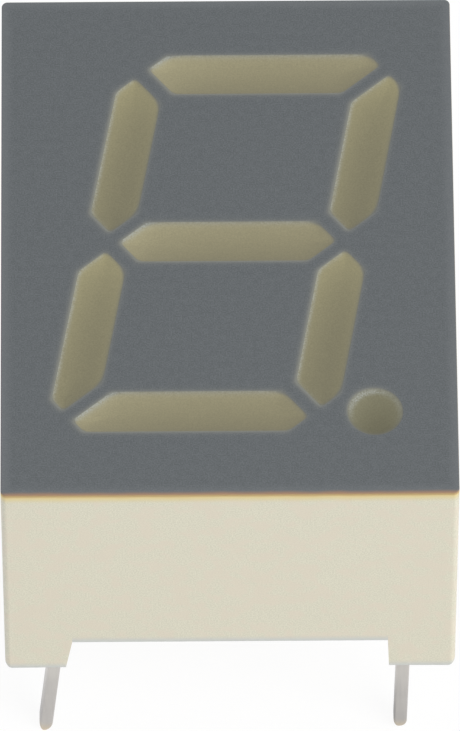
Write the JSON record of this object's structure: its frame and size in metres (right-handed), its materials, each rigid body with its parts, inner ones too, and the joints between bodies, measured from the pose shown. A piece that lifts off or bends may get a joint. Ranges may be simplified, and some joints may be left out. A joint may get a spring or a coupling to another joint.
{
  "type": "seven segment display",
  "caption": "Single-digit seven segment LED display: ivory housing with a grey face, slanted milky segments with a decimal point, corner feet and two rows of straight pins.",
  "frame": {"origin": "centre of the pin grid in the seating plane, the plane under the four feet", "axes": "+X across the digit to its right, +Y up the digit, +Z out of the face"},
  "size_m": [0.0098, 0.0128, 0.0114],
  "materials": {
    "ivory_plastic": "fine moulded satin, ivory",
    "grey_coat": "matt grey coat with fine grain",
    "milky_resin": "milky diffusing resin, unlit",
    "seal_resin": "cast resin, glossy",
    "board_laminate": "glass laminate",
    "copper": "bare copper",
    "solder": "dull solder",
    "tinned_metal": "matt tin plate",
    "chip": "sawn die",
    "gold_wire": "drawn wire"
  },
  "bodies": {
    "root": {"housing": "ivory_plastic", "face_coat": "grey_coat", "circuit_board": "board_laminate", "copper_tracks": "copper", "solder_joints": "solder", "back_seal": "seal_resin", "decimal_point": "milky_resin", "segment_a": "milky_resin", "segment_b": "milky_resin", "segment_c": "milky_resin", "segment_d": "milky_resin", "segment_e": "milky_resin", "segment_f": "milky_resin", "segment_g": "milky_resin", "led_chip_a": "chip", "bond_wire_a": "gold_wire", "led_chip_b": "chip", "bond_wire_b": "gold_wire", "led_chip_c": "chip", "bond_wire_c": "gold_wire", "led_chip_d": "chip", "bond_wire_d": "gold_wire", "led_chip_e": "chip", "bond_wire_e": "gold_wire", "led_chip_f": "chip", "bond_wire_f": "gold_wire", "led_chip_g": "chip", "bond_wire_g": "gold_wire", "led_chip_dp": "chip", "bond_wire_dp": "gold_wire", "pin_1": "tinned_metal", "pin_2": "tinned_metal", "pin_3": "tinned_metal", "pin_4": "tinned_metal", "pin_5": "tinned_metal", "pin_6": "tinned_metal", "pin_7": "tinned_metal", "pin_8": "tinned_metal", "pin_9": "tinned_metal", "pin_10": "tinned_metal"}
  },
  "joints": []
}
